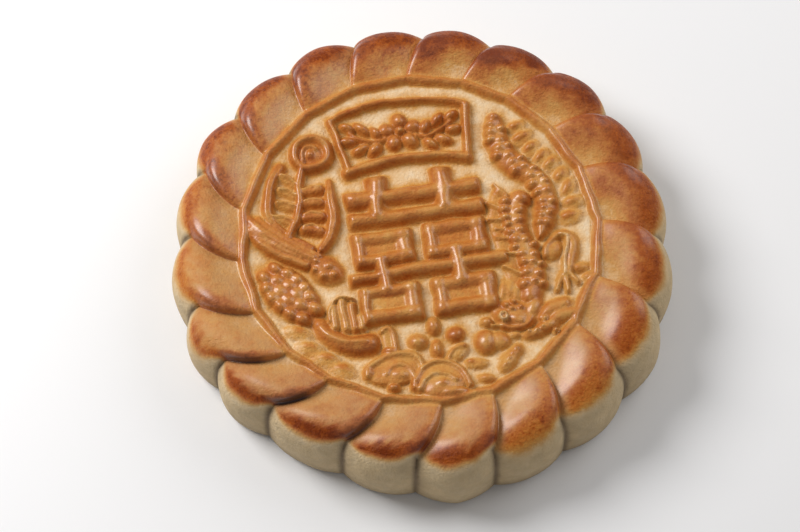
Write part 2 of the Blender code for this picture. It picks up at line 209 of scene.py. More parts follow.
def plaque(relief):
    # the frame: two leaning sides, a bowed top and a bowed foot
    relief.bar((-32.6, 64.2), (-26.6, 34.6), width=2.0, height=4.2, end=2.0)
    relief.bar((29.6, 63.4), (26.4, 34.2), width=2.2, height=4.2, end=2.0)
    relief.ridge([(-32.2, 62.6), (-25, 65.6), (-16, 67.6), (-6, 68.8), (4, 68.6), (14, 67.4), (23, 65.4),
                  (29.8, 62.4)], width=1.7, height=3.6)
    relief.ridge([(-27.4, 35.8, 3.0), (-20, 37.8, 2.9), (-10, 39.2, 2.7), (0, 39.8, 2.6), (10, 39.4, 2.6),
                  (19, 38.0, 2.7), (26.4, 36.0, 2.8)], width=2.7, height=4.5)
    # a blossom of five petals
    middleX, middleY = -1.4, 53.2
    for angle in range(90, 450, 72):
        c, s = math.cos(math.radians(angle)), math.sin(math.radians(angle))
        relief.lump(middleX + 6.2 * c, middleY + 5.8 * s, 4.6, 4.0, turn=angle, height=4.2)
    relief.lump(middleX, middleY, 2.6, 2.4, height=5.2)
    # and a leafy spray on each side of it, each leaf by its distance from the stem's root
    for side, root in ((-1, -8.4), (1, 5.6)):
        relief.ridge([(root, 50.6), (root + side * 5, 49.6), (root + side * 11, 51.6),
                      (root + side * 16, 55.4)], width=1.2, height=3.0)
        for reach, y, turn, long in [(4.2, 54.4, 62, 4.4), (5.6, 45.8, -40, 4.6), (10.2, 57.2, 48, 5.0),
                                     (11.8, 47.0, -18, 5.0), (16.6, 58.2, 30, 4.4), (17.2, 51.6, 4, 4.6)]:
            relief.lump(root + side * reach, y, long, 2.7, turn=side * turn, height=4.0)


def phoenix(relief):
    # the round crest, curled like a shell
    relief.lump(-42.8, 47.4, 9.2, 9.0, height=2.6, crown=0.6)
    relief.ridge([(-46.8, 41.6), (-50.0, 45.5), (-49.6, 51), (-46, 54.6), (-40.5, 55.2), (-36.2, 51.8),
                  (-35.2, 46.8), (-38.0, 42.6), (-42.8, 41.2)], width=2.5, height=4.5, closed=True)
    relief.lump(-42.6, 47.6, 6.0, 5.8, height=3.4, crown=0.5, tone=0.6)
    relief.ridge([(-46.6, 44.6), (-46.8, 48), (-45.0, 50.6), (-41.8, 51.0), (-39.8, 49.6)], width=1.2,
                 height=4.3, blend=1.8)
    relief.lump(-42.8, 47.0, 3.0, 3.2, height=5.0, tone=0.82)
    # three long quills that run down from it: the middle, the outer and the inner
    relief.ridge([(-47.6, 41), (-48.8, 38), (-49.8, 34), (-50.3, 29), (-51.2, 24), (-52.4, 19),
                  (-54.6, 13.6), (-57.8, 8.6)], width=1.8, height=4.6, groove=(0.4, 0.8))
    relief.ridge([(-57.6, 42.6), (-60.6, 38.5), (-63, 33), (-64.8, 27), (-65.2, 21), (-64, 16.5), (-61, 12),
                  (-57.4, 8.4)], width=2.5, height=4.2, groove=(0.5, 0.9), rise=(0.7, 1, 1, 1, 0.9, 0.8))
    relief.ridge([(-36.8, 33.6, 1.3), (-37.0, 28, 2.4), (-37.2, 22, 2.9), (-37.0, 16, 3.0), (-37.8, 11, 3.0),
                  (-40, 6, 2.7), (-44.4, 0.6, 2.0)], width=2.9, height=4.7, groove=(0.45, 0.9),
                 rise=(0.6, 0.9, 1, 1, 1, 0.9))
    # barbs between the quills: each is a broad leaf with a soft crest along its upper edge
    for x, y, tipX, tipY in [(-52.2, 34.0, -57.4, 38.0), (-52.8, 28.0, -58.8, 31.6),
                             (-54, 22.6, -61.0, 25.4), (-56.4, 15.8, -63.2, 18.6)]:
        relief.ridge([(x, y, 2.4), (tipX, tipY, 2.0)], width=2.4, height=2.4, tone=0.42, blend=1.6)
        relief.ridge([(x + 0.8, y + 0.4), (mixed(x, tipX, 0.45) + 0.4, mixed(y, tipY, 0.45) + 1.6),
                      (tipX, tipY + 0.6)], width=1.2, height=3.7, blend=1.4, tone=0.4)
    for x, y, tipX, tipY in [(-48.2, 29.8, -41.4, 30.0), (-49, 23.6, -41.2, 23.6),
                             (-49.5, 17.4, -41.6, 17.0), (-50.6, 11.2, -43.2, 9.6)]:
        relief.ridge([(x, y), (tipX, tipY)], width=2.7, height=3.3, blend=1.6)
        relief.ridge([(x, y + 1.0), (mixed(x, tipX, 0.5), y + 1.8), (tipX, tipY + 1.0)], width=1.2,
                     height=3.8, blend=1.4, tone=0.46)
    # the wing: strands that draw together towards the breast
    relief.ridge([(-73, 13.6, 3.4), (-66, 6.6, 4.6), (-58, 0.8, 4.8), (-50, -4.4, 3.8)], width=4.4,
                 height=3.7)
    for points, width, height in [
            ([(-74.4, 19), (-70.6, 14.4), (-66.6, 9.8), (-61.5, 5.4), (-56, 1.4), (-49, -3.4)], 2.6, 5.5),
            ([(-73.8, 11.6), (-70.8, 7.0), (-66.8, 3.2), (-62, -0.2), (-57, -3.2), (-52, -6.6)], 2.1, 4.7),
            ([(-69.8, 18.4), (-65.6, 13.4), (-61.4, 9.2), (-56.6, 5.2), (-51, 1.2), (-46, -2.6)], 2.0, 4.4),
            ([(-70.6, 9.8), (-66, 6.0), (-60.6, 2.0), (-54, -2.6)], 1.6, 4.9),
            ([(-58, 7.4), (-53.5, 5.2), (-48.5, 1.8)], 2.0, 4.0)]:
        relief.ridge(points, width, height, groove=(0.35, 0.35), blend=0.9, crown=0.8,
                     rise=(0.55, 0.85, 1, 1, 1, 0.95))
    # the breast, with a handful of knobs
    relief.lump(-43.8, -9.0, 9.6, 6.6, turn=-46, height=4.2)
    for x, y, size, height in [(-47.4, -5.4, 2.9, 5.0), (-42.2, -8.6, 3.2, 5.3), (-44.8, -12.4, 2.6, 4.8),
                               (-40.6, -12.8, 2.9, 5.0), (-48.4, -9.4, 2.2, 4.6)]:
        relief.lump(x, y, size, size * 0.9, turn=-40, height=height)
    # the scaled body: rows of scales across a long leaning mound
    middleX, middleY, halfLength, halfWidth, lean = -60.8, -18.6, 16.8, 9.4, -56
    relief.lump(middleX, middleY, halfLength, halfWidth, turn=lean, height=4.2, crown=0.7)
    c, s = math.cos(math.radians(lean)), math.sin(math.radians(lean))
    for row in range(6):
        along = 5.1 * row - 12.9
        reach = halfWidth * math.sqrt(1 - (along / halfLength) ** 2) - 2.6
        for aside in np.linspace(-reach, reach, 1 + round(reach / 2.6)):
            relief.lump(middleX + c * along - s * aside, middleY + s * along + c * aside, 4.3, 3.4, turn=-50,
                        height=5.0, crown=0.7, blend=1.8)


def cloudsAndLeaves(relief):
    # a fan of lobes, with a thin crest round it
    for points, width, tone in [([(-43.0, -27.4), (-43.6, -32), (-43.4, -37)], 2.3, 0.38),
                                ([(-39.0, -25.6), (-39.4, -31), (-38.6, -38.5)], 2.5, 0.4),
                                ([(-35.0, -27.6), (-35.2, -32), (-34.6, -39)], 2.2, 0.56),
                                ([(-32.0, -33.5), (-31.6, -39)], 1.8, 0.36)]:
        relief.ridge(points, width=width, height=3.3, tone=tone)
    relief.ridge([(-45.4, -34), (-45.0, -29), (-42.6, -25.2), (-38.4, -23.4), (-34.4, -24.6)], width=0.9,
                 height=3.5, tone=0.42, blend=0.8)
    # the long fruit under it, with a rounder crest down its middle, and the stump beside it
    relief.ridge([(-49.6, -34.5, 3.4), (-47.4, -39.4, 4.0), (-42.6, -44, 4.4), (-36.4, -46.6, 4.5),
                  (-29.6, -46.8, 4.6)], width=4.4, height=5.0, rise=(0.55, 0.7, 0.95, 1, 1), tone=0.76)
    relief.ridge([(-49.4, -36.4), (-46.4, -41.0), (-42.0, -44.4), (-37.0, -46.0), (-31, -46.4)], width=2.2,
                 height=5.8, blend=1.6, rise=(0.6, 0.85, 1, 1, 0.95))
    relief.bar((-21.6, -39.6), (-21.6, -51.4), width=3.0, height=2.4, end=2.4, crown=0.4, tone=0.34)
    relief.ridge([(-23.8, -42.6), (-21.6, -41.0), (-19.4, -43.2), (-18.8, -47), (-19.0, -51)], width=1.7,
                 height=3.4, tone=0.5)
    # low leaves along the ring
    for x, y, turn in [(-59.5, -37.4, -24), (-55.4, -45.0, -18), (-49.2, -51.2, -22), (-43.2, -57.4, -24)]:
        relief.lump(x, y, 7.0, 4.0, turn, height=1.7, crown=0.5, tone=0.3)
        relief.lump(x + 0.6, y + 0.8, 4.4, 2.4, turn, height=2.3, crown=0.9, tone=0.6, blend=1.8)
    # the four-petalled blossom and the small leaves under it
    for x, y, length, width, tone in [(-1.2, -42.6, 3.5, 4.9, 0.5), (-9.2, -48.8, 4.7, 4.3, 0.48),
                                      (7.6, -47.8, 4.5, 4.0, 0.72), (-1.2, -53.4, 3.3, 4.8, 0.5)]:
        relief.lump(x, y, length, width, height=3.6, tone=tone)
    relief.lump(7.2, -56.4, 6.2, 3.6, turn=38, height=2.2, crown=0.45, tone=0.32)
    relief.ridge([(3.0, -58.6), (5.8, -54.8), (10.6, -53.6)], width=1.3, height=3.0, tone=0.5)
    relief.lump(14.4, -62.2, 5.6, 3.2, turn=-6, height=2.4, crown=0.6, tone=0.34)
    relief.lump(12.6, -61.4, 3.0, 1.8, turn=-6, height=3.0, tone=0.6)
    relief.lump(17.6, -70.2, 4.0, 2.4, turn=-10, height=2.4, tone=0.5)
    # the two-lobed fruit with its stem, and a pod of four seeds
    relief.lump(20.2, -53.4, 5.6, 5.8, height=4.8, tone=0.62)
    relief.lump(26.4, -53.4, 5.6, 4.6, turn=-10, height=3.8, tone=0.46)
    relief.lump(21.8, -44.6, 3.0, 3.0, height=3.4, tone=0.5)
    relief.ridge([(23.6, -46.6), (29, -46.8)], width=1.0, height=3.0, tone=0.34)
    relief.ridge([(26, -66, 3.0), (29, -62.6, 3.8), (33, -58.6, 3.2)], width=3.9, height=3.2, tone=0.4)
    for x, y in [(26.6, -65), (28.6, -62.6), (30.6, -60.4), (32.8, -58.2)]:
        relief.lump(x, y, 1.7, 1.3, turn=45, height=4.0, tone=0.6)
    # scrolled clouds: low terraces, each edged by a thin crest
    relief.lump(-20.6, -60.6, 12.8, 7.0, turn=4, height=3.1, crown=0.3, tone=0.4)
    relief.ridge([(-32.6, -62, 1.8), (-32, -58.8, 2.0), (-28.4, -55.8, 2.0), (-23, -53.8, 2.2),
                  (-17, -53.4, 2.2), (-12, -54.8, 2.2), (-9, -58, 1.8), (-8.4, -61.4, 1.4)], width=2.1,
                 height=3.7, blend=2.0, tone=0.44)
    relief.lump(-21.4, -51.8, 4.4, 2.3, turn=-6, height=4.2, tone=0.7)
    relief.lump(-31.4, -60.2, 2.6, 3.6, height=3.8, tone=0.56)
    relief.ridge([(-24.4, -62), (-22, -59.4), (-17.6, -58.6), (-14.4, -60.8), (-12.8, -64.6), (-13.2, -70)],
                 width=1.9, height=3.9, blend=1.8, tone=0.5)
    relief.lump(-18.6, -62.6, 4.8, 2.8, turn=-16, height=3.9, crown=0.6, blend=1.8, tone=0.5)
    relief.lump(-22.2, -68.6, 3.2, 2.4, height=3.6, tone=0.58)
    relief.lump(-2.0, -68.4, 11.4, 8.8, height=3.5, crown=0.3, tone=0.42)
    relief.ridge([(-12.4, -67), (-8.4, -61.6), (-3, -59.4), (2.2, -60.2), (6.2, -63.4), (8.8, -67.4),
                  (10, -72)], width=1.6, height=4.0, blend=2.0, tone=0.5)
    relief.lump(-2.8, -71.4, 8.4, 5.8, height=4.4, crown=0.4, tone=0.56)
    relief.ridge([(-11.4, -71.4), (-8.6, -67.4), (-3.6, -65.4), (1.6, -66.4), (4.6, -69.4)], width=1.5,
                 height=4.6, blend=2.0, tone=0.5)
    relief.lump(-1.8, -70, 4.6, 3.2, height=5.2, blend=1.8, tone=0.7)
    relief.lump(2.0, -74.6, 9.0, 3.0, height=4.6, tone=0.62)


def dragon(relief):
    # fins behind the upper body, overlapping from the top down
    for x, y, turn, long, wide in [(51.0, 48.0, 10, 4.2, 3.2), (52.8, 42.2, 20, 4.8, 3.4),
                                   (55.8, 36.2, 34, 4.6, 3.2), (59.6, 31.4, 40, 4.6, 3.2),
                                   (63.2, 27.0, 36, 4.4, 3.2), (66.2, 20.6, 50, 4.6, 3.4),
                                   (68.8, 14.2, 62, 5.4, 3.6), (69.8, 7.2, 8, 4.8, 3.6),
                                   (67.0, 0.4, 4, 4.8, 3.6)]:
        relief.lump(x, y, long + 0.8, wide + 0.6, turn, height=1.7, crown=0.5, tone=0.34)
        relief.lump(x - 0.8, y + 0.6, long - 0.6, wide - 1.0, turn, height=2.9, crown=0.8, tone=0.52,
                    blend=1.4)
    # the upper and the lower length of the body, the knob where they meet, and their scales
    relief.ridge([(41.4, 51.5, 3.8), (41.2, 45, 5.0), (42.2, 38.5, 5.2), (45, 32, 5.2), (49.5, 27, 5.0),
                  (54.5, 22, 5.0), (57.6, 15.5, 4.8), (57.8, 8.5, 5.0), (56, 2.0, 5.2), (53.6, -3.0, 3.4),
                  (51.8, -7.4, 1.2)], width=4.8, height=4.1, crown=0.9, tone=0.6)
    relief.ridge([(44.8, 11.5, 4.4), (43, 4, 5.0), (42, -3, 5.2), (43.4, -10, 5.4), (45.2, -17, 5.6),
                  (45.6, -24, 5.6), (44.2, -30.5, 5.4), (43, -34, 4.8)], width=5.4, height=4.0, crown=0.9,
                 tone=0.56)
    relief.lump(46.6, 12.2, 5.2, 4.6, turn=-20, height=5.2, tone=0.74)
    scales = [(41.4, 53, 2.9), (39.6, 49.8, 2.7), (38.8, 46.2, 2.7), (38.2, 42.6, 2.5), (42.0, 41.6, 2.7),
              (41.2, 37.8, 2.9), (39.6, 34.6, 2.5), (44.0, 47.2, 2.4), (45.4, 38.6, 2.4), (44.8, 33.6, 2.8),
              (46.0, 30.0, 2.5), (50.0, 31.4, 2.4), (47.0, 26.0, 2.9), (51.4, 27.2, 2.5), (55.2, 25.6, 2.5),
              (53.0, 21.8, 2.5), (53.0, 18.0, 2.6), (57.4, 21.2, 2.4), (58.6, 18.4, 2.4), (58.6, 14.0, 2.8),
              (54.6, 13.4, 2.4), (56.2, 9.0, 2.6), (60.2, 8.6, 2.4), (55.8, 5.4, 2.4), (54.2, 2.2, 2.4),
              (58.2, 3.0, 2.4), (52.8, -0.8, 2.4), (56.4, -1.6, 2.4), (39.4, 11.6, 2.6), (38.8, 7.8, 2.7),
              (38.4, 3.8, 2.6), (38.6, 0.2, 2.2), (44.6, 6.2, 3.2), (43.8, 1.4, 3.0), (43.8, -3.4, 2.6),
              (39.0, -3.8, 2.5), (40.8, -7.2, 3.0), (45.0, -8.2, 2.4), (48.6, -11.0, 2.3), (39.8, -11, 2.3),
              (43.0, -14.4, 3.1), (48.2, -15.4, 2.5), (42.6, -19.0, 2.5), (47.0, -19.2, 2.4),
              (50.4, -21, 2.2), (42.8, -23.6, 3.2), (48.2, -25.2, 2.7), (40.8, -29.2, 3.2),
              (45.8, -28.6, 2.4), (49.0, -30.4, 2.3)]
    for x, y, size in scales:
        relief.lump(x, y, 1.2 * size, 1.05 * size, height=5.2, crown=0.7, blend=1.5)
    # low web and spines between the lower body and the emblem
    relief.ridge([(36, 15, 2.4), (34.6, 6, 3.2), (34.8, -6, 3.2), (36.5, -16, 3.2), (38, -26, 3.2)],
                 width=3.0, height=1.7, crown=0.5, tone=0.46)
    for x, y, rootX, rootY in [(35.6, 20.6, 40, 14.4), (31.0, 12.4, 37.0, 9.0), (30.8, 3.8, 37, 3.2),
                               (33.0, -1.0, 37, -1.6), (32.4, -5.6, 37.6, -6.2), (34.2, -13.4, 41, -14),
                               (33.6, -19.6, 40.2, -24.0)]:
        relief.ridge([(x, y, 0.8), (rootX, rootY, 1.7)], width=1.4, height=3.4, straight=True, tone=0.42)
    relief.lump(37.4, 16.8, 3.4, 2.4, turn=-50, height=2.8, tone=0.5)
    # the head: three locks of the mane, cheek, brow, snout, jaw, the eye in its ring, and small knobs
    for x, y, length in [(31.4, -30.4, 6.6), (34.2, -31.0, 6.8), (37.0, -32.4, 5.6)]:
        relief.lump(x, y, length, 2.5, turn=80, height=2.5, blend=1.6, tone=0.34)
    relief.lump(35.4, -41.8, 11.0, 6.6, turn=-16, height=3.2, crown=0.5, tone=0.5)
    relief.lump(43.4, -40.8, 7.0, 3.8, turn=62, height=4.0, tone=0.42)
    relief.lump(29.4, -43.0, 4.4, 4.2, height=3.9, tone=0.5)
    relief.lump(35.2, -44.6, 5.2, 3.4, turn=-14, height=4.5, blend=2.2, tone=0.6)
    relief.ridge([(28.6, -47.2), (33, -48.4), (38.4, -48.0), (41.4, -45.4)], width=1.6, height=3.4,
                 blend=2.0, tone=0.6)
    relief.lump(33.4, -51.6, 3.6, 2.0, turn=-8, height=2.4, tone=0.3)
    relief.lump(29.5, -43.2, 2.4, 2.4, height=4.3, tone=0.62)
    relief.ridge([(31.2, -42.9), (30.4, -41.6), (28.8, -41.7), (27.9, -43.2), (28.8, -44.7), (30.5, -44.6)],
                 width=0.8, height=5.4, closed=True, blend=0.5, tone=0.26)
    for x, y, size in [(31.6, -38.2, 2.1), (33.4, -40.0, 1.9), (35.0, -36.8, 2.1), (37.6, -39.8, 2.0),
                       (36.6, -46.0, 1.8)]:
        relief.lump(x, y, size, 0.85 * size, turn=-30, height=4.8)
    # the fore leg with its claws
    relief.lump(56.4, -14.2, 6.0, 4.2, turn=62, height=2.9, crown=0.6, tone=0.44)
    relief.ridge([(53, -17, 1.4), (54.0, -12.8, 1.6), (56.8, -9.6, 1.8), (60.6, -7.2, 2.2),
                  (64.0, -8.4, 2.8), (65.2, -12, 3.4), (64.2, -17, 3.6), (62.4, -22, 3.2), (60.4, -27, 2.6)],
                 width=3.2, height=3.5, tone=0.5)
    relief.ridge([(61.2, -7.8), (63.8, -8.8), (63.2, -12), (61.6, -16.4), (60.2, -21), (59.4, -27)],
                 width=1.1, height=4.4, tone=0.36)
    for x, y, tipX, tipY in [(58.6, -27, 54.8, -34), (59.6, -27.6, 59.4, -35.4), (60.8, -27, 64.4, -32.0)]:
        relief.ridge([(x, y, 1.9), (tipX, tipY, 1.3)], width=1.6, height=3.0, straight=True, blend=1.6,
                     tone=0.36)
    # two pebbles beside it
    relief.lump(66.6, -24.8, 5.0, 3.0, turn=-6, height=2.7, tone=0.44)
    relief.lump(69.6, -29.6, 3.4, 2.6, turn=30, height=2.6, tone=0.5)
    # the spray of leaves and berries below it
    relief.lump(53, -43.6, 9.6, 6.0, turn=22, height=2.6, crown=0.5, tone=0.4)
    relief.ridge([(45.6, -45.8, 1.8), (50.4, -42.0, 3.4), (57.0, -40.8, 2.8)], width=3.0, height=3.7,
                 blend=2.0, crown=0.8, tone=0.5)
    relief.ridge([(50.2, -48.2, 2.0), (54.6, -46.0, 3.2), (60, -46.2, 2.6)], width=3.0, height=3.6,
                 blend=2.0, crown=0.8, tone=0.56)
    relief.lump(47.4, -50.0, 6.6, 3.6, turn=12, height=4.0, tone=0.56)
    relief.lump(47.0, -46.8, 2.4, 1.7, turn=20, height=5.0, tone=0.4)
    relief.lump(41.4, -52.6, 5.4, 3.0, turn=4, height=3.6, tone=0.42)
    for x, y in [(39.2, -51.8), (42.6, -51.8), (50.8, -53.2), (45.4, -50.6)]:
        relief.lump(x, y, 1.6, 1.4, height=4.7, tone=0.5)


# The crust: petals run clockwise, each with its own small turn and sweep (degrees) and reach (mm).
crust = {
    "petals": 20, "firstAngle": 105.0, "ground": 31.8,
    "lipHeight": 5.4,  # how far a petal's crest stands over its far edge
    "crestPlaces": (0.12, 0.22),  # where across a petal its crest runs, by the ring and at the outer end
    "lipRoundness": 2.7, "farFall": (1.5, 2.3),  # the far side falls steeper towards the outer end
    "cuspDepth": 4.9,  # how far the creases cut into the wall
    "wallShift": (0.6, -0.5),  # how far the outer wall is off the ring's centre
    "turns": (-0.9, -1.0, -1.0, 0.9, 0.9, 1.9, 0.4, -1.3, -1.0, -1.3, -0.9, 0.7, 0.4, -0.1, 2.2, 3.2, 2.7,
              3.1, 0.5, -1.3),
    "sweeps": (5.4, 5.0, 4.7, 6.0, 5.4, 5.6, 5.0, 4.0, 5.0, 5.6, 6.0, 8.0, 7.4, 9.0, 10.0, 8.7, 9.0, 9.5, 6.5,
               5.0),
    "reaches": (-1.4, -0.6, -1.0, 0.3, -0.8, -1.0, 0.0, 2.4, 0.3, -0.5, 1.8, -2.7, -4.0, -0.6, 1.0, 0.2, -0.4,
                0.9, -0.5, 0.3),
    "fan": (78.6, 104.0, 112.4),  # radii where petals start to sweep and reach, end sweeping, end reaching
    # radius, height, share of the lip height, share of the cusp depth
    "section": ((74.5, 33.3, 0, 0), (76.8, 33.6, 0.0, 0), (79.4, 35.4, 0.25, 0), (82.0, 36.4, 0.5, 0),
                (86.0, 37.7, 0.78, 0), (91.0, 38.8, 0.95, 0), (96.5, 39.0, 1.0, 0.05),
                (102.2, 37.3, 1.0, 0.3), (107.2, 33.4, 0.75, 0.65), (110.8, 27.0, 0.3, 0.9),
                (112.4, 18.5, 0, 1.0), (112.3, 9.5, 0, 0.9), (111.4, 2.8, 0, 0.75), (109.8, 0, 0, 0.65)),
    "spacings": (0.6, 0.6, 0.6, 0.9, 1.0, 1.0, 1.0, 1.2, 1.3, 1.5, 2.0, 2.2, 1.6),
    # places of a petal's points, from its lip at 0 to its far edge at 1
    "stations": (0, .01, .02, .035, .05, .07, .09, .115, .14, .17, .2, .235, .27, .31, .35, .39, .43, .47,
                 .51, .55, .59, .63, .67, .71, .75, .79, .83, .87, .905, .935, .96, .98),
    "medallionRings": 120, "halvings": (38.0, 19.0, 9.5, 4.8),  # inside each radius, half as many points
    "evened": (68.0, 76.0),  # between these radii even spacing gives way to the petals' own
    "dish": (60.0, 76.0, 1.5),  # where the medallion starts to rise towards the ring, and ends, and how much
    "ring": (78.4, 3.2, 2.7, 5.0),  # radius, half width inwards and outwards, height above the ground
    "ringShifts": (0.9, 0.7, 0.8, 0.5, -0.5, -0.2, 0.0, -1.2, -0.8, -0.4, -0.8, -1.3, -1.6, -0.5, 0.9, 1.2,
                   0.5, 0.6, 0.9, 1.1),
    "ringWidths": (1, 1, 1, 1, 1, 1, 1, 1, 1, 1, 0.9, 0.72, 0.62, 0.7, 0.85, 1, 1, 1, 1, 1),
    "ringBow": 1.2,  # how far the ring's corners stand out over the middles of its sides
    "ringRoundness": 0.95, "ringJoins": (0.8, 1.6),  # how softly it joins the medallion and the petals
    "figuresReach": 84.0,  # the radius within which figures and ring are pressed
}


def groundHeight(radius):
    start, stop, rise = crust["dish"]
    return crust["ground"] + rise * ease(radius, start, stop)


def petalRise(station, radius):
    # height share across a petal, from its lip over its slanting crest to its far edge
    crest = mixed(*crust["crestPlaces"], portion(radius, 80.0, 105.0))
    roundness = crust["lipRoundness"]
    rise = (1.0 - (1.0 - np.minimum(station / crest, 1.0)) ** roundness) ** (1 / roundness)
    far = np.clip((station - crest) / (1.0 - crest), 0.0, 1.0)
    outer = 1.0 - far ** mixed(*crust["farFall"], ease(radius, 88.0, 100.0))
    inner = 1.0 - ease(far, 0.0, 0.9)
    return rise * mixed(inner, outer, ease(radius, 80.0, 95.0))


def perPetal(values, petal, station):
    # a petal's own value at its middle, and halfway to its neighbour's at its edges
    values = np.array(values)
    neighbour = (petal + np.where(station > 0.5, 1, -1)) % crust["petals"]
    return mixed(values[petal], values[neighbour], np.abs(station - 0.5))


def ringRib(radius, petal, station):
    # how far from the ring's crest, in half widths, and the height of its rib above the ground
    centre, inwards, outwards, tall = crust["ring"]
    widths = perPetal(crust["ringWidths"], petal, station)
    u = np.where(radius < centre, (centre - radius) / (inwards * widths), (radius - centre) / outwards)
    rib = tall * np.clip(1 - u * u, 0, 1) ** crust["ringRoundness"]
    return u, np.where(u < 1, rib, -(u - 1) * inwards * 2)


def rimPoints(radius, height, lipShare, cuspShare, petal, station, angle):
    # one ring of points, moved from its even circle by the petals' creases, reaches, sweeps and crests
    start, sweepStop, reachStop = crust["fan"]
    outward = portion(radius, start, reachStop)
    cusp = (2 * station - 1) ** 2
    bow = crust["ringBow"] * (cusp - 0.5) + perPetal(crust["ringShifts"], petal, station)
    bow = bow * portion(radius, 88.0, start) * ease(radius, 66.0, 75.0)
    reach = perPetal(crust["reaches"], petal, station)
    r = radius - crust["cuspDepth"] * cuspShare * cusp + reach * outward + bow
    z = height - crust["lipHeight"] * lipShare * (1 - petalRise(station, radius))
    even = np.radians(angle)
    wander = 0.35 * unevenness(r * np.cos(even), r * np.sin(even), size=6.0, layer=12.5)
    _, rib = ringRib(radius + wander, petal, station)
    softness = mixed(*crust["ringJoins"], ease(radius, 78.3, 80.3))
    z = np.where(radius < 86, softMax(z, crust["ground"] + rib, softness), z)
    sweeps = np.array(crust["sweeps"])
    sweep = mixed(sweeps[petal], sweeps[(petal + 1) % crust["petals"]], station)
    a = np.radians(angle - sweep * portion(radius, start, sweepStop) ** 1.5)
    shiftX, shiftY = crust["wallShift"]
    return r * np.cos(a) + shiftX * outward, r * np.sin(a) + shiftY * outward, z


def crustMesh():
    count, stations = crust["petals"], np.array(crust["stations"])
    petals, places = np.repeat(np.arange(count), len(stations)), np.tile(stations, count)
    turns, step = np.array(crust["turns"]), 360.0 / count
    start = crust["firstAngle"] - step * petals + turns[petals]
    stop = crust["firstAngle"] - step * (petals + 1) + turns[(petals + 1) % count]
    petalAngles = mixed(start, stop, places)
    evenAngles = crust["firstAngle"] - np.arange(len(petals)) * 360.0 / len(petals)
    # the section, from the middle of the medallion out, over the rim and down to the base
    edge = crust["section"][0][0]
    radii = edge * np.arange(1, crust["medallionRings"]) / crust["medallionRings"]
    section = [(radius, groundHeight(radius), 0.0, 0.0) for radius in radii]
    section += list(smoothCurve(crust["section"], crust["spacings"]))
    rings, columns, total = [], [], 0
    for radius, height, lipShare, cuspShare in section:
        skip = 2 ** sum(radius < limit for limit in crust["halvings"])
        petal, station = petals[::skip], places[::skip]
        angle = mixed(evenAngles[::skip], petalAngles[::skip], ease(radius, *crust["evened"]))
        radius = np.full(len(petal), radius)
        x, y, z = rimPoints(radius, height, lipShare, cuspShare, petal, station, angle)
        rings.append((len(petal), total))
        columns.append((x, y, z, radius, station, petal))
        total += len(petal)
    columns.append([[0.0], [0.0], [crust["ground"]], [0.0], [0.0], [0]])
    faces = []
    for (inner, a), (outer, b) in zip(rings[:-1], rings[1:]):
        # from a ring of inner points that starts at a to one of outer points that starts at b
        for j in range(inner):
            k = (j + 1) % inner
            if inner == outer:
                faces.append((a + j, a + k, b + k, b + j))
            else:
                faces += [(a + j, b + 2 * j + 1, b + 2 * j), (a + j, a + k, b + 2 * j + 1),
                          (a + k, b + (2 * j + 2) % outer, b + 2 * j + 1)]
    innermost, base = rings[0][0], rings[-1][1]
    faces += [(j, total, (j + 1) % innermost) for j in range(innermost)]
    faces.append(tuple(range(base, total)))
    return [np.concatenate(column) for column in zip(*columns)] + [faces]


def pressedFigures(x, y, radius):
    # heights above the ground and tones; the places wander a little, so that no line is ruled
    inside = radius < crust["figuresReach"]
    x, y = x[inside], y[inside]
    relief = Relief(x + 0.4 * unevenness(x, y, size=8.0, layer=1.5),
                    y + 0.4 * unevenness(x, y, size=8.0, layer=4.5))
    for motif in (weddingEmblem, plaque, phoenix, cloudsAndLeaves, dragon):
        motif(relief)
    raised = np.full(len(radius), stroke["sunken"])
    tone = np.full(len(radius), stroke["tone"])
    swell = 0.28 * unevenness(x, y, size=5.0, layer=7.5) * ease(relief.height, 0.5, 3.5)
    raised[inside] = relief.height + swell
    tone[inside] = relief.tone
    return raised, tone


x, y, z, radius, station, petal, faces = crustMesh()
raised, tone = pressedFigures(x, y, radius)
z = np.where(radius < crust["figuresReach"], softMax(z, groundHeight(radius) + raised, 1.0), z)
print("crust shaped:", len(x), "points")

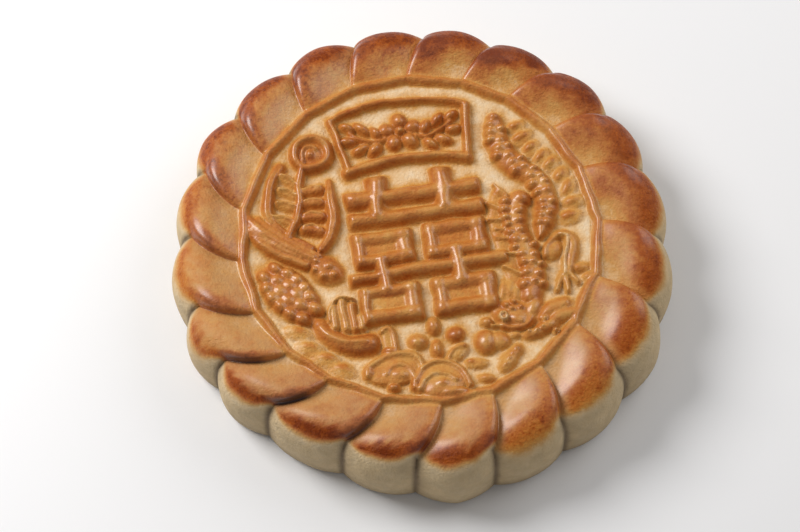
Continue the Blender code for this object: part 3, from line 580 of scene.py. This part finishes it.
# How the oven browned each petal, clockwise from the top. Radii are in mm, browns from 0, pale, to 1, dark.
browning = {
    "face": (0.70, 0.62, 0.60, 0.70, 0.77, 0.77, 0.63, 0.64, 0.62, 0.64, 0.67, 0.68, 0.68, 0.66, 0.54, 0.56,
             0.60, 0.61, 0.59, 0.71),
    # the dark band: the radius where it starts at the lip and at the far edge, how softly, where it ends
    "bandNear": (97, 90, 91, 93, 96, 95, 92, 90, 91, 92, 97, 97, 99, 102, 104, 103, 102, 99, 97, 95),
    "bandFar": (95, 98, 100, 100, 100, 99, 95, 93, 94, 96, 98, 101, 103, 106, 107, 104, 102, 101, 101, 99),
    "bandSoft": (3.5, 4.0, 4.0, 4.0, 4.5, 4.5, 4.0, 4.5, 5.0, 6.0, 3.0, 2.5, 2.5, 2.5, 3.0, 4.0, 4.0, 4.5,
                 4.0, 4.0),
    "bandEnd": (112, 112, 112, 112, 112, 110, 107.5, 106, 107, 108, 106, 106.5, 108.5, 109.5, 110.5, 110.5,
                110, 112, 112, 112),
    "bandBrown": (0.88, 0.90, 0.94, 0.91, 0.87, 0.86, 0.84, 0.77, 0.73, 0.71, 0.90, 0.94, 0.94, 0.88, 0.80,
                  0.74, 0.78, 0.82, 0.86, 0.88),
    # the dark strip along the lip, its width as a share of the petal
    "lipWidth": (0.34, 0.52, 0.50, 0.46, 0.34, 0.32, 0.28, 0.28, 0.34, 0.32, 0.30, 0.24, 0.22, 0.20, 0.16,
                 0.24, 0.28, 0.34, 0.28, 0.30),
    "lipBrown": (0.88, 0.92, 0.94, 0.90, 0.86, 0.86, 0.82, 0.80, 0.78, 0.74, 0.74, 0.80, 0.90, 0.92, 0.90,
                 0.84, 0.86, 0.88, 0.90, 0.90),
    "mottling": (0.8, 0.6, 0.4, 0.4, 0.3, 0.3, 0.3, 0.4, 0.5, 0.7, 0.3, 0.3, 0.3, 0.3, 0.2, 0.3, 0.5, 0.9,
                 0.9, 1.0),
    "glazeEnd": (95, 94, 94, 95, 95, 96, 97, 96, 97, 97, 99, 99, 99, 99, 95, 92, 92, 92, 94, 94),
}
oven = {
    # the ring's brown on its front flank is a little paler: painted light against the shade there
    "ground": 0.1, "wall": 0.14, "paleCorner": 0.34, "ring": 0.6, "ringLitInFront": 0.57,
    "figures": (0.28, 0.6),  # the brown of a figure of tone 0, and what tone 1 adds
    "burntAndShadedCreases": {12: 0.6, 13: 0.9, 14: 0.6},  # how dark the crease before a petal is: partly burnt, partly painted shade
    # painted shade at the foot of the wall and in the wall's creases
    "shadedFoot": 0.3, "shadedWallCreases": 0.6,
    "glaze": 0.75, "glazeOnLips": 0.9, "glazeOnGround": 0.25,
}


def bakedCrust(x, y, z, radius, station, petal, raised, tone):
    own = {name: np.array(values)[petal] for name, values in browning.items()}
    # figures and ring: brown on top, paling down their flanks to the ground
    onFigure = np.where(raised > 0, 1.0, np.exp(raised / 2.4) * 0.8 + np.exp(raised / 7.0) * 0.2)
    onFigure = onFigure * mixed(0.66, 1.0, ease(raised, -0.6, 2.8))
    plain, gain = oven["figures"]
    # the highest crests are painted a little paler: painted sheen
    brown = mixed(oven["ground"], plain + gain * tone - 0.1 * ease(raised, 2.4, 4.8), onFigure)
    ringU, _ = ringRib(radius, petal, station)
    # the ring's outer flank in front is painted a little paler: painted light against the shade in the valley
    # beside it
    litInFront = ease(radius, 77.5, 79.5) * (1 - ease(np.abs(petal - 9.5), 3.0, 5.0))
    ringBrown = mixed(oven["ring"], oven["ringLitInFront"], litInFront) * (1 - ease(ringU, 0.5, 1.7))
    brown = np.where(radius > 73, np.maximum(brown, ringBrown), brown)
    # petals: a clouded face that pales towards the ring at its far edge
    ragged = unevenness(x, y, size=9.0, layer=21.5) + 0.5 * unevenness(x, y, size=3.4, layer=23.5)
    streaks = unevenness((petal + station) * 13.0, radius * 0.24, size=1.0, layer=27.5)
    clouded = 0.6 * unevenness(x, y, size=6.5, layer=31.5) + 0.4 * unevenness(x, y, size=2.4, layer=33.5)
    across = station + 0.035 * ragged
    paleCorner = ease(across, 0.3, 0.85) * (1 - ease(radius, 84, 99)) * ease(radius, 79, 82)
    petalBrown = mixed(own["face"] + 0.03 * streaks + 0.13 * clouded, oven["paleCorner"], 0.9 * paleCorner)
    # the dark strip along the lip, then the dark band round the outer end, then the pale wall
    reach = own["lipWidth"] * mixed(0.6, 1.0, portion(radius, 80, 94))
    strip = (1 - ease(across, 0.6 * reach, 1.3 * reach)) * ease(radius, 79, 84)
    petalBrown = mixed(petalBrown, own["lipBrown"] * mixed(0.78, 1.0, ease(radius, 85, 95)), strip)
    soft = own["bandSoft"]
    bandStart = mixed(own["bandNear"], own["bandFar"], station) + 1.5 * ragged + 1.8 * streaks
    band = ease(radius, bandStart - soft, bandStart + soft) * (1 - ease(station, 0.8, 0.98))
    petalBrown = mixed(petalBrown, own["bandBrown"], band)
    bandEnd = own["bandEnd"] - 4.5 * np.abs(2 * station - 1) ** 3 + 0.4 * ragged
    petalBrown = mixed(petalBrown, oven["wall"], ease(radius, bandEnd - soft, bandEnd + 0.7 * soft))
    brown = mixed(brown, petalBrown, ease(radius, 80.2, 81.8))
    wall = ease(radius, bandEnd - 2.2, bandEnd + 3.0)
    mottle = own["mottling"] * portion(petalBrown, 0.25, 0.7) * ease(radius, 81, 84)
    mottle = mottle * (1 - ease(radius, bandEnd, bandEnd + 2))
    # the tan of the open faces with painted pinkish sheen in it, most of it on the front and left petals
    face = ease(radius, 80, 83) * (1 - band) * (1 - 0.7 * strip)
    face = face * mixed(0.25, 1.0, ease(petal, 5, 8) * (1 - 0.4 * ease(petal, 16, 19)))
    # egg glaze: on petals as far as the brush reached, on all that stands up, hardly on the ground
    glaze = oven["glaze"] * (1 - ease(radius, own["glazeEnd"] - 4, own["glazeEnd"] + 4))
    glaze = np.maximum(glaze, oven["glazeOnLips"] * strip * (1 - ease(radius, 100, 106)))
    glaze = np.where(radius < 80, mixed(oven["glazeOnGround"], 1.0, ease(raised, 1.8, 4.2)), glaze)
    glaze = np.where(radius > 72, np.maximum(glaze, 1 - ease(ringU, 0.6, 1.2)), glaze)
    # creases darkened before petals 12 to 14, partly burnt and partly painted shade; painted shade at the
    # foot of the wall and in its creases
    toCrease = np.minimum(station, 1 - station)
    scorch = np.zeros(len(x))
    for crease, strength in oven["burntAndShadedCreases"].items():
        scorch[petal + (station > 0.5) == crease] = strength
    scorch = scorch * (1 - ease(toCrease, 0.02, 0.06)) * ease(radius, 87, 92) * (1 - ease(radius, 101, 105))
    # painted shade: the wall darkened towards its foot
    scorch = np.maximum(scorch, oven["shadedFoot"] * wall * (1 - ease(z, 0, 13)))
    # painted shade in the creases of the wall
    scorch = np.maximum(scorch, oven["shadedWallCreases"] * wall * (1 - ease(toCrease, 0.0, 0.08)))
    return {"brown": brown, "scorch": scorch, "mottle": mottle, "wall": wall, "glaze": glaze, "face": face}


baked = bakedCrust(x, y, z, radius, station, petal, raised, tone)
mesh = bpy.data.meshes.new("pastryCrust")
points = np.stack([x + ringMiddle[0], y + ringMiddle[1], z], -1) * mm
mesh.from_pydata(points.tolist(), [], faces)
mesh.update()
mesh.shade_smooth()
for name, values in baked.items():
    mesh.attributes.new(name, "FLOAT", "POINT").data.foreach_set("value", values.astype(np.float32))
pastryCrust = bpy.data.objects.new("pastryCrust", mesh)
bpy.context.scene.collection.objects.link(pastryCrust)
print("crust mesh:", sum(len(f) - 2 for f in faces), "triangles")


# Shader helpers: a socket that takes part in sums, and a method that makes any node.
class Socket:
    def __init__(self, nodes, socket):
        self.nodes, self.socket = nodes, socket

    def maths(self, operation, first, second):
        return self.nodes.make("ShaderNodeMath", {"operation": operation}, {0: first, 1: second})

    def __add__(self, other):
        return self.maths("ADD", self, other)

    def __radd__(self, other):
        return self.maths("ADD", other, self)

    def __sub__(self, other):
        return self.maths("SUBTRACT", self, other)

    def __rsub__(self, other):
        return self.maths("SUBTRACT", other, self)

    def __mul__(self, other):
        return self.maths("MULTIPLY", self, other)

    def __rmul__(self, other):
        return self.maths("MULTIPLY", other, self)


class Nodes:
    def __init__(self, name):
        self.material = bpy.data.materials.new(name)
        self.material.use_nodes = True
        self.tree = self.material.node_tree
        self.shader = self.tree.nodes["Principled BSDF"]

    def make(self, kind, settings=None, inputs=None, output=0):
        node = self.tree.nodes.new(kind)
        for key, value in (settings or {}).items():
            if key == "stops":
                elements = node.color_ramp.elements
                while len(elements) < len(value):
                    elements.new(0.5)
                for element, (place, rgb) in zip(elements, value):
                    element.position, element.color = place, colour(*rgb)
            else:
                setattr(node, key, value)
        self.feed(node, inputs or {})
        return Socket(self, node.outputs[output])

    def feed(self, node, inputs):
        for key, value in inputs.items():
            if isinstance(value, Socket):
                self.tree.links.new(value.socket, node.inputs[key])
            else:
                node.inputs[key].default_value = value


def colour(*rgb):
    # a screen colour, 0 to 255, as the linear values that a shader takes
    return tuple(v / 255 / 12.92 if v < 10.3 else ((v / 255 + 0.055) / 1.055) ** 2.4 for v in rgb) + (1.0,)


doughFinish = {
    # from pale to dark, at shares of brownness
    "crust": ((0.0, (232, 214, 186)), (0.2, (224, 192, 148)), (0.42, (200, 146, 74)), (0.62, (186, 115, 48)),
              (0.82, (158, 78, 24)), (1.0, (116, 48, 12))),
    "wall": ((0.3, (176, 156, 122)), (0.7, (200, 178, 140))),
    # face: the tan of the petal faces, with painted sheen mixed in
    "face": (184, 140, 94), "burntAndShaded": (46, 22, 26),
    # how far those colours cover the crust's own, and how patchily the face does
    "faceTanAndSheenShare": 0.55, "facePatchy": 0.9, "wallShare": 0.85,
    # scale (higher is finer), detail and roughness of each grain
    "grains": {"cloud": (75.0, 5.0, 0.6), "patch": (230.0, 4.0, 0.6), "speck": (800.0, 3.0, 0.6),
               "fleck": (430.0, 6.0, 0.72), "wall": (160.0, 5.0, 0.6), "fine": (820.0, 3.0, 0.6),
               "bumpy": (170.0, 4.0, 0.6)},
    "fleckRange": (0.5, 0.64),  # the part of its grain that shows as flecks
    "cloudy": 0.42, "patchy": 0.36, "specked": 0.24, "flecked": 0.24,  # what each grain adds to the brown
    "bumps": {"fine": (0.9, 0.0006), "bumpy": (0.5, 0.001)},  # strength, and depth in metres
    "roughness": 0.42, "roughnessOfWall": 0.25, "roughnessOfSpecks": 0.3, "coatRoughness": 0.28,
    "specular": 0.12,
}
dough = Nodes("bakedDough")
place = dough.make("ShaderNodeTexCoord", output=3)
masks = {name: dough.make("ShaderNodeAttribute", {"attribute_name": name}, output=2) for name in baked}


def grain(name):
    scale, detail, rough = doughFinish["grains"][name]
    return dough.make("ShaderNodeTexNoise", {}, {"Vector": place, "Scale": scale, "Detail": detail,
                                                 "Roughness": rough})


def bump(name, **under):
    strength, depth = doughFinish["bumps"][name]
    return dough.make("ShaderNodeBump", {}, {"Height": grain(name), "Strength": strength, "Distance": depth,
                                             **under})


def ramp(value, stops):
    return dough.make("ShaderNodeValToRGB", {"stops": stops}, {"Fac": value})


def blend(share, first, second):
    return dough.make("ShaderNodeMix", {"data_type": "RGBA"}, {0: share, 6: first, 7: second}, output=2)


# clouds, patches and specks vary the browning, and flecks sit where the petals are mottled
cloud, patch, speck = grain("cloud"), grain("patch"), grain("speck")
fleckLow, fleckHigh = doughFinish["fleckRange"]
fleck = dough.make("ShaderNodeMapRange", {}, {"Value": grain("fleck"), "From Min": fleckLow,
                                              "From Max": fleckHigh})
shade = masks["brown"] + (cloud - 0.5) * doughFinish["cloudy"] + (patch - 0.5) * doughFinish["patchy"]
shade = shade + (speck - 0.5) * doughFinish["specked"] + fleck * masks["mottle"] * doughFinish["flecked"]
crustColour = ramp(shade, doughFinish["crust"])
# the faces' tan, partly the dough's own and partly painted sheen
faceTanAndSheenShare = masks["face"] * (doughFinish["faceTanAndSheenShare"] - (patch - 0.5) * doughFinish["facePatchy"])
crustColour = blend(faceTanAndSheenShare, crustColour, colour(*doughFinish["face"]))
wallColour = ramp(grain("wall"), doughFinish["wall"])
crustColour = blend(masks["wall"] * doughFinish["wallShare"], crustColour, wallColour)
# burnt dough, and painted shade in the creases and at the foot of the wall, blended in dark
crustColour = blend(masks["scorch"], crustColour, colour(*doughFinish["burntAndShaded"]))
roughness = doughFinish["roughness"] + masks["wall"] * doughFinish["roughnessOfWall"]
roughness = roughness + (speck - 0.5) * doughFinish["roughnessOfSpecks"]
bumpy = bump("bumpy", Normal=bump("fine"))
dough.feed(dough.shader, {"Base Color": crustColour, "Roughness": roughness, "Normal": bumpy,
                          "Specular IOR Level": doughFinish["specular"], "Coat Weight": masks["glaze"],
                          "Coat Roughness": doughFinish["coatRoughness"]})
mesh.materials.append(dough.material)

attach(pastryCrust, "root")
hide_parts("pastry")
print("dough finished")

# Floor, light and camera. Lamps: place in metres, size in metres, power in watts.
studio = {
    "floorHalf": 3.0, "floorDrop": 0.0002, "floorColour": (0.84, 0.845, 0.86, 1), "floorRoughness": 0.6,
    "lamps": {"key": ((-0.66, 0.44, 0.76), 0.6, 11.5), "sideFill": ((0.85, 0.35, 0.7), 1.0, 5.0)},
    "lampColour": (1.0, 0.985, 0.97), "fill": 0.26, "fillColour": (1.0, 0.98, 0.96, 1),
}
scene = bpy.context.scene
half = studio["floorHalf"]
floorMesh = bpy.data.meshes.new("floor")
floorMesh.from_pydata([(-half, -half, 0), (half, -half, 0), (half, half, 0), (-half, half, 0)], [],
                      [(0, 1, 2, 3)])
floor = bpy.data.objects.new("floor", floorMesh)
scene.collection.objects.link(floor)
floor.location.z = -studio["floorDrop"]
floorFinish = Nodes("floor")
floorFinish.feed(floorFinish.shader, {"Base Color": studio["floorColour"],
                                      "Roughness": studio["floorRoughness"]})
floorMesh.materials.append(floorFinish.material)

world = bpy.data.worlds.new("studio")
scene.world = world
world.use_nodes = True
background = world.node_tree.nodes["Background"]
background.inputs["Color"].default_value = studio["fillColour"]
background.inputs["Strength"].default_value = studio["fill"]
for name, (spot, size, power) in studio["lamps"].items():
    lamp = bpy.data.lights.new(name, "AREA")
    lamp.shape, lamp.size, lamp.energy, lamp.color = "DISK", size, power, studio["lampColour"]
    holder = bpy.data.objects.new(name, lamp)
    scene.collection.objects.link(holder)
    holder.location = spot
    holder.rotation_mode = "QUATERNION"
    holder.rotation_quaternion = Vector(spot).to_track_quat("Z", "Y")
scene.view_settings.view_transform = "Standard"

# Angles in degrees, lens and sensor in mm, the rest in metres. The camera stands off from the middle of the
# ring at the given height, and is aimed past it, a little left and below.
shot = {"azimuth": -10.0, "elevation": 65.1, "distance": 0.88, "lens": 90.0, "sensor": 36.0, "height": 0.037,
        "left": 0.008976, "below": 0.014344}
camera = bpy.data.cameras.new("camera")
camera.lens, camera.sensor_width = shot["lens"], shot["sensor"]
cameraObject = bpy.data.objects.new("camera", camera)
scene.collection.objects.link(cameraObject)
scene.camera = cameraObject
a, e = math.radians(shot["azimuth"]), math.radians(shot["elevation"])
away = Vector((-math.sin(a) * math.cos(e), math.cos(a) * math.cos(e), -math.sin(e)))
right = Vector((math.cos(a), math.sin(a), 0))
up = right.cross(away)
middle = Vector((ringMiddle[0] * mm, ringMiddle[1] * mm, shot["height"]))
cameraObject.location = middle - away * shot["distance"]
target = middle - right * shot["left"] - up * shot["below"]
cameraObject.rotation_mode = "QUATERNION"
cameraObject.rotation_quaternion = (target - cameraObject.location).to_track_quat("-Z", "Y")
print("camera set")
